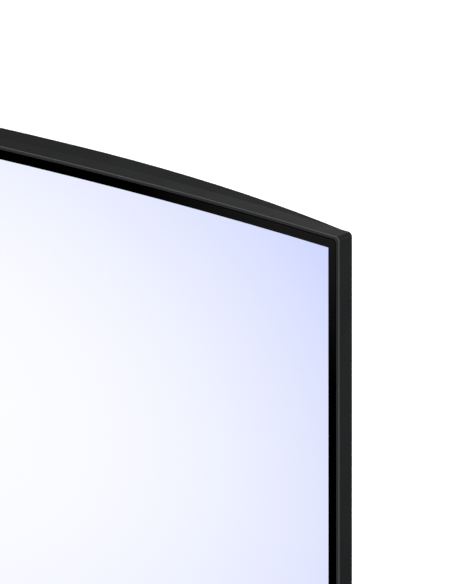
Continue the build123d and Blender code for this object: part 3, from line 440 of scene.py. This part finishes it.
def floor_paint(name):
    """Pale paint, almost white to the camera and darker to the part."""
    s = Shader(name)
    place = s.place()
    seen = s.seen_directly()
    pale = s.mix(s.noise(place, 3, 2.0), (0.80, 0.80, 0.80, 1), (0.83, 0.83, 0.83, 1))
    s.set(Base_Color=s.mix(seen, FLOOR_BOUNCE, pale))
    s.set(Roughness=s.span(s.noise(place, 25, 3.0), 0.3, 0.7, 0.85, 0.95), Specular_IOR_Level=0.0)
    s.set(Emission_Color=(1, 1, 1, 1), Emission_Strength=s.math("MULTIPLY", seen, FLOOR_LIFT))
    return s.material


FRAME_BLACK = (0.0086, 0.0088, 0.0092, 1)
# Painted light on the frame's lip: a lighter front face and a painted highlight on its rounded outer edge.
LIP_FACE_PAINTED_LIGHT = (0.0300, 0.0304, 0.0316, 1)
LIP_EDGE_PAINTED_HIGHLIGHT = (0.085, 0.087, 0.092, 1)
SHELL_BLACK = (0.0096, 0.0100, 0.0106, 1)
STAND_BLACK = (0.0150, 0.0154, 0.0162, 1)

SLOT_MATERIALS = {
    "screen_frame": moulded(
        "frame_satin_black_painted_lip", FRAME_BLACK, 0.40, 0.35 * MM, 0.010 * MM, 0.03, painted_lip_light=(LIP_FACE_PAINTED_LIGHT, LIP_EDGE_PAINTED_HIGHLIGHT),
    ),
    "rear_shell": moulded("shell_textured_black", SHELL_BLACK, 0.5, 0.6 * MM, 0.03 * MM, 0.02),
    "inner_plastic": moulded("inner_black", (0.012, 0.012, 0.013, 1), 0.55, 0.7 * MM, 0.03 * MM, 0.1),
    "white_plastic": pale_plastic("white_plastic", colour(236, 236, 233)),
    "screen_glass": screen_glass("screen_lit_glass"),
    "clear_acrylic": clear_acrylic("light_guide_acrylic"),
    "diffuser_film": pale_plastic("diffuser_film", colour(238, 240, 242), 0.35),
    "lens": lens("status_lens"),
    "sheet_steel": zinc_sheet("zinc_sheet", (0.52, 0.53, 0.54, 1)),
    "steel": machined("machined_steel", (0.50, 0.50, 0.51, 1)),
    "screw_steel": machined("blackened_steel", (0.07, 0.07, 0.075, 1), 0.38),
    "spring_steel": machined("spring_steel", (0.42, 0.42, 0.43, 1), 0.3),
    "painted_steel": coated_steel("powder_coated_black", (0.012, 0.0122, 0.013, 1)),
    "cast_metal": die_cast("die_cast_alloy", (0.36, 0.365, 0.37, 1)),
    "circuit_board": circuit_board("circuit_board"),
    "flex_film": amber_film("amber_film"),
    "stand_plastic": moulded("stand_satin_black", STAND_BLACK, 0.42, 0.5 * MM, 0.03 * MM, 0.3),
    "rubber": rubber("foot_rubber"),
}


def finish_cad_nodes():
    """Give every CAD node the material of its slot."""
    for part in frame["record"]["subparts"]:
        mesh = frame["nodes"][part["node"]].data
        mesh.materials.clear()
        mesh.materials.append(SLOT_MATERIALS[part["material_slot"]])


# --- Details in mesh code --------------------------------------------------------------------
class Shape:
    """Vertices and faces of one piece, collected from lofts."""

    def __init__(self):
        self.vertices = []
        self.faces = []

    def loft(self, rings, closed=False):
        """Skin over rings of equally many points, capped at both ends unless it closes on itself."""
        first = len(self.vertices)
        count = len(rings[0])
        for ring in rings:
            self.vertices.extend(ring)
        spans = len(rings) if closed else len(rings) - 1
        for row in range(spans):
            low = first + row * count
            high = first + (row + 1) % len(rings) * count
            for k in range(count):
                after = (k + 1) % count
                self.faces.append((low + k, low + after, high + after, high + k))
        if not closed:
            last = first + (len(rings) - 1) * count
            self.faces.append(tuple(range(first + count - 1, first - 1, -1)))
            self.faces.append(tuple(range(last, last + count)))

    def bar(self, centre, half, bevel):
        """Bar with every edge cut off at a slant."""
        rings = []
        for z, inset in ((-half[2], bevel), (bevel - half[2], 0), (half[2] - bevel, 0), (half[2], bevel)):
            x, y = half[0] - inset, half[1] - inset
            corners = [(x - bevel, -y), (x, bevel - y), (x, y - bevel), (x - bevel, y)]
            corners += [(bevel - x, y), (-x, y - bevel), (-x, bevel - y), (bevel - x, -y)]
            rings.append([Vector((centre[0] + a, centre[1] + b, centre[2] + z)) for a, b in corners])
        self.loft(rings)

    def turned(self, centre, profile, steps=64):
        """Round body about a vertical line, from (radius, height) pairs that start and end on it."""
        x, y, z = centre
        rings = []
        for step in range(steps):
            angle = math.tau * step / steps
            rings.append([
                Vector((x + r * math.cos(angle), y + r * math.sin(angle), z + h)) for r, h in profile
            ])
        self.loft(rings, closed=True)

    def piece(self, name, material, slot_name, body, smooth=40):
        """Make the object, with edges sharper than the smooth angle left crisp."""
        mesh = bpy.data.meshes.new(name)
        mesh.from_pydata(self.vertices, [], self.faces)
        work = bmesh.new()
        work.from_mesh(mesh)
        bmesh.ops.remove_doubles(work, verts=work.verts, dist=1e-6)
        loose = [edge for edge in work.edges if not edge.link_faces]
        bmesh.ops.delete(work, geom=loose, context="EDGES")
        bmesh.ops.recalc_face_normals(work, faces=work.faces)
        for face in work.faces:
            face.smooth = True
        for edge in work.edges:
            edge.smooth = edge.calc_face_angle(math.pi) < math.radians(smooth)
        work.to_mesh(mesh)
        work.free()
        mesh.materials.append(material)
        piece = bpy.data.objects.new(name, mesh)
        bpy.context.scene.collection.objects.link(piece)
        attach(piece, body)
        return piece


def make_latch_coil():
    """Coil between the latch button and the roof above it, drawn at one fixed length."""
    low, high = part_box("latch_spring")
    wire = 0.4 * MM
    radius = (high.x - low.x) / 2 - wire
    centre = (low + high) / 2
    turns, steps, sides = 3, 32, 10
    rings = []
    for step in range(turns * steps + 1):
        angle = math.tau * step / steps
        out = Vector((math.cos(angle), math.sin(angle), 0))
        height = low.z + wire + (high.z - low.z - 2 * wire) * step / (turns * steps)
        middle = Vector((centre.x, centre.y, height)) + out * radius
        ring = []
        for k in range(sides):
            around = math.tau * k / sides
            ring.append(middle + out * math.cos(around) * wire + Vector((0, 0, math.sin(around) * wire)))
        rings.append(ring)
    shape = Shape()
    shape.loft(rings)
    coil = shape.piece("latch_coil", SLOT_MATERIALS["spring_steel"], "spring_steel", "head")
    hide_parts("latch_spring")
    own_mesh(coil)


def make_boss_threads():
    """Screw threads inside the four mounting bosses."""
    shape = Shape()
    pitch, outer, inner = 0.7 * MM, 2.03 * MM, 1.72 * MM
    steps, turns = 28, 12
    for side in (-1, 1):
        for lift in (-1, 1):
            x = side * VESA_HALF
            z = HINGE_HEIGHT + lift * VESA_HALF
            rings = []
            for step in range(turns * steps + 1):
                angle = math.tau * step / steps
                y = BOSS_FACE - 0.5 * MM - pitch * step / steps
                across, up = math.cos(angle), math.sin(angle)
                rings.append([
                    Vector((x + across * outer, y + 0.32 * MM, z + up * outer)),
                    Vector((x + across * inner, y + 0.04 * MM, z + up * inner)),
                    Vector((x + across * inner, y - 0.04 * MM, z + up * inner)),
                    Vector((x + across * outer, y - 0.32 * MM, z + up * outer)),
                ])
            shape.loft(rings)
    shape.piece("boss_threads", SLOT_MATERIALS["steel"], "steel", "head", 50)


def make_socket_contacts():
    """Plated strips on both faces of the video sockets' tongues."""
    shape = Shape()
    for centre_x, tongue_y in TONGUES:
        for side in (-1, 1):
            y = tongue_y + side * 0.52
            for index in range(10):
                x = centre_x + (index - 4.5) * CONTACT_PITCH
                middle = (x * MM, y * MM, CONTACT_HEIGHT * MM)
                shape.bar(middle, (0.25 * MM, 0.05 * MM, 3.0 * MM), 0.02 * MM)
    gold = machined("gold_plating", (0.83, 0.60, 0.26, 1), 0.22)
    shape.piece("socket_contacts", gold, "spring_steel", "head")


def make_stick_grip():
    """Raised spokes in the dish of the joystick's cap, and fine ribs round its rim."""
    low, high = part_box("joystick_cap")
    x, z = (low.x + high.x) / 2, (low.z + high.z) / 2
    tip = high.y
    shape = Shape()
    for index in range(8):
        angle = math.tau * (index + 0.5) / 8
        out = Vector((math.cos(angle), 0, math.sin(angle)))
        over = Vector((-math.sin(angle), 0, math.cos(angle)))
        rings = []
        for radius, rise in ((1.3, -0.1), (1.5, 0.12), (2.2, 0.2), (2.9, 0.12), (3.1, -0.1)):
            dish = DISH_RADIUS - DISH_DEPTH - math.sqrt(DISH_RADIUS ** 2 - radius ** 2)
            top = Vector((x, tip + (dish + rise) * MM, z)) + out * radius * MM
            foot = Vector((x, tip + (dish - 0.2) * MM, z)) + out * radius * MM
            wide, slim = over * 0.3 * MM, over * 0.14 * MM
            rings.append([foot - wide, foot + wide, top + slim, top - slim])
        shape.loft(rings)
    for index in range(30):
        angle = math.tau * index / 30
        out = Vector((math.cos(angle), 0, math.sin(angle)))
        over = Vector((-math.sin(angle), 0, math.cos(angle)))
        rings = []
        for back, rise in ((5.6, -0.1), (5.3, 0.1), (1.7, 0.1), (1.4, -0.1)):
            middle = Vector((x, tip - back * MM, z))
            foot, top = middle + out * 4.5 * MM, middle + out * (4.6 + rise) * MM
            wide, slim = over * 0.2 * MM, over * 0.1 * MM
            rings.append([foot - wide, foot + wide, top + slim, top - slim])
        shape.loft(rings)
    shape.piece("joystick_grip", SLOT_MATERIALS["stand_plastic"], "stand_plastic", "joystick_stem", 50)


def make_grooved_feet():
    """Rubber feet with two grooves in the sole."""
    low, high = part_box("rubber_feet")
    radius, height = 9 * MM, high.z - low.z
    rounding = [(8.0, 0.0), (8.38, 0.08), (8.71, 0.29), (8.92, 0.62)]
    sole = [(0.001, 0.0), (2.9, 0.0), (3.1, 0.5), (4.1, 0.5), (4.3, 0.0)]
    sole += [(5.7, 0.0), (5.9, 0.5), (6.9, 0.5), (7.1, 0.0)]
    profile = [(r * MM, h * MM) for r, h in sole + rounding]
    profile += [(radius, 1.0 * MM), (radius, height - 0.2 * MM)]
    profile += [(radius - 0.2 * MM, height), (0.001 * MM, height)]
    shape = Shape()
    for x in (low.x + radius, high.x - radius):
        for y in (low.y + radius, high.y - radius):
            shape.turned((x, y, low.z), profile)
    feet = shape.piece("grooved_feet", SLOT_MATERIALS["rubber"], "rubber", "base", 35)
    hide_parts("rubber_feet")


def make_lock_sleeve():
    """Steel lining of the security slot."""
    shape = Shape()
    x, y, z = LOCK_PLACE
    rings = []
    for depth, across, up in (
        (-0.8, 3.45, 1.45), (1.1, 3.45, 1.45), (1.25, 3.3, 1.3), (1.1, 3.1, 1.1), (-0.8, 3.1, 1.1),
    ):
        corners = [(across, up - 0.5), (across - 0.5, up), (0.5 - across, up), (-across, up - 0.5)]
        corners += [(-across, 0.5 - up), (0.5 - across, -up), (across - 0.5, -up), (across, 0.5 - up)]
        rings.append([
            Vector(((x + a) * MM, (y + depth + LOCK_SLOPE * a) * MM, (z + b) * MM)) for a, b in corners
        ])
    shape.loft(rings, closed=True)
    shape.piece("lock_sleeve", SLOT_MATERIALS["sheet_steel"], "sheet_steel", "head")


def make_cable_clip_ribs():
    """Soft ribs inside the cable clip that hold the cables still."""
    low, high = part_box("cable_clip")
    shape = Shape()
    x = (low.x + high.x) / 2
    y = low.y + CLIP_RING * MM
    z = (low.z + high.z) / 2
    for angle_deg in (-160, -130, -50, -20, 20, 160):
        angle = math.radians(angle_deg)
        out = Vector((math.cos(angle), math.sin(angle), 0))
        over = Vector((-math.sin(angle), math.cos(angle), 0))
        rings = []
        for height, rise in ((-6.5, 0.05), (-5.5, 0.8), (5.5, 0.8), (6.5, 0.05)):
            middle = Vector((x, y, z + height * MM))
            foot, top = middle + out * 14.7 * MM, middle + out * (14.5 - rise) * MM
            wide, slim = over * 0.9 * MM, over * 0.45 * MM
            rings.append([foot - wide, foot + wide, top + slim, top - slim])
        shape.loft(rings)
    shape.piece("clip_ribs", SLOT_MATERIALS["stand_plastic"], "stand_plastic", "column", 60)


# --- Stage, light and camera ---------------------------------------------------------------
SIDE_GLOW = 0.22
TOP_GLOW = 1.3
GLOW_STARTS = 0.42               # sine of the height above the horizon

# name, place, what it points at, width, power
LAMPS = [
    ("overhead", (-0.9, -0.9, 2.2), (0, 0, 0.4), 1.2, 26),
    ("edge", (2.3, -1.35, 0.75), (0.3, -0.03, 0.3), 0.9, 50),
    ("back", (-0.05, 1.0, 1.05), (0.3, 0.0, 0.45), 0.8, 2.5),
    ("rear", (1.3, 2.5, 0.45), (0, 0, 0.3), 1.4, 125),
]


def make_floor():
    """Plain floor, half a millimetre under the feet."""
    half = 12.0
    mesh = bpy.data.meshes.new("floor")
    corners = [(-half, -half, 0), (half, -half, 0), (half, half, 0), (-half, half, 0)]
    mesh.from_pydata(corners, [], [(0, 1, 2, 3)])
    mesh.materials.append(floor_paint("floor_paint"))
    floor = bpy.data.objects.new("floor", mesh)
    bpy.context.scene.collection.objects.link(floor)
    floor.location.z = -0.5 * MM


def aim(thing, target):
    """Turn a light or camera towards a point."""
    thing.rotation_mode = "QUATERNION"
    thing.rotation_quaternion = (Vector(target) - thing.location).to_track_quat("-Z", "Y")


def soft_light(name, place, target, size, power):
    """Round lamp of a given width in metres and power in watts."""
    lamp = bpy.data.lights.new(name, "AREA")
    lamp.shape = "DISK"
    lamp.size = size
    lamp.energy = power
    light = bpy.data.objects.new(name, lamp)
    bpy.context.scene.collection.objects.link(light)
    light.location = place
    aim(light, target)


def make_light():
    """Soft studio light: a glow from above and four large lamps."""
    world = bpy.data.worlds.new("studio")
    bpy.context.scene.world = world
    world.use_nodes = True
    tree = world.node_tree
    background = tree.nodes["Background"]
    background.inputs["Color"].default_value = (1, 1, 1, 1)
    height = tree.nodes.new("ShaderNodeSeparateXYZ")
    tree.links.new(tree.nodes.new("ShaderNodeTexCoord").outputs["Generated"], height.inputs[0])
    glow = tree.nodes.new("ShaderNodeMapRange")
    tree.links.new(height.outputs["Z"], glow.inputs["Value"])
    glow.inputs["From Min"].default_value = GLOW_STARTS
    glow.inputs["To Min"].default_value = SIDE_GLOW
    glow.inputs["To Max"].default_value = TOP_GLOW
    pick = tree.nodes.new("ShaderNodeMix")
    seen = tree.nodes.new("ShaderNodeLightPath").outputs["Is Camera Ray"]
    tree.links.new(seen, pick.inputs["Factor"])
    tree.links.new(glow.outputs["Result"], pick.inputs["A"])
    pick.inputs["B"].default_value = 1.0
    tree.links.new(pick.outputs["Result"], background.inputs["Strength"])
    for lamp in LAMPS:
        soft_light(*lamp)


CAMERA_AZIMUTH = 32.344
CAMERA_ELEVATION = 20.377
CAMERA_DISTANCE = 10.0
CAMERA_TARGET = (0.22812, -0.080, 0.41003)
CAMERA_LENS = 1141.9
CAMERA_ROLL = -0.139              # degrees; keeps the right-hand edge upright in the picture


def make_camera():
    """Long lens that looks down at the upper right corner of the head."""
    azimuth = math.radians(CAMERA_AZIMUTH)
    elevation = math.radians(CAMERA_ELEVATION)
    back = Vector((
        math.sin(azimuth) * math.cos(elevation),
        -math.cos(azimuth) * math.cos(elevation),
        math.sin(elevation),
    ))
    data = bpy.data.cameras.new("camera")
    data.lens = CAMERA_LENS
    camera = bpy.data.objects.new("camera", data)
    bpy.context.scene.collection.objects.link(camera)
    camera.location = Vector(CAMERA_TARGET) + back * CAMERA_DISTANCE
    aim(camera, CAMERA_TARGET)
    camera.rotation_quaternion @= Quaternion((0, 0, 1), math.radians(CAMERA_ROLL))
    bpy.context.scene.camera = camera
    bpy.context.scene.view_settings.view_transform = "Standard"


finish_cad_nodes()
make_latch_coil()
make_boss_threads()
make_socket_contacts()
make_stick_grip()
make_lock_sleeve()
make_cable_clip_ribs()
make_grooved_feet()
make_floor()
make_light()
make_camera()
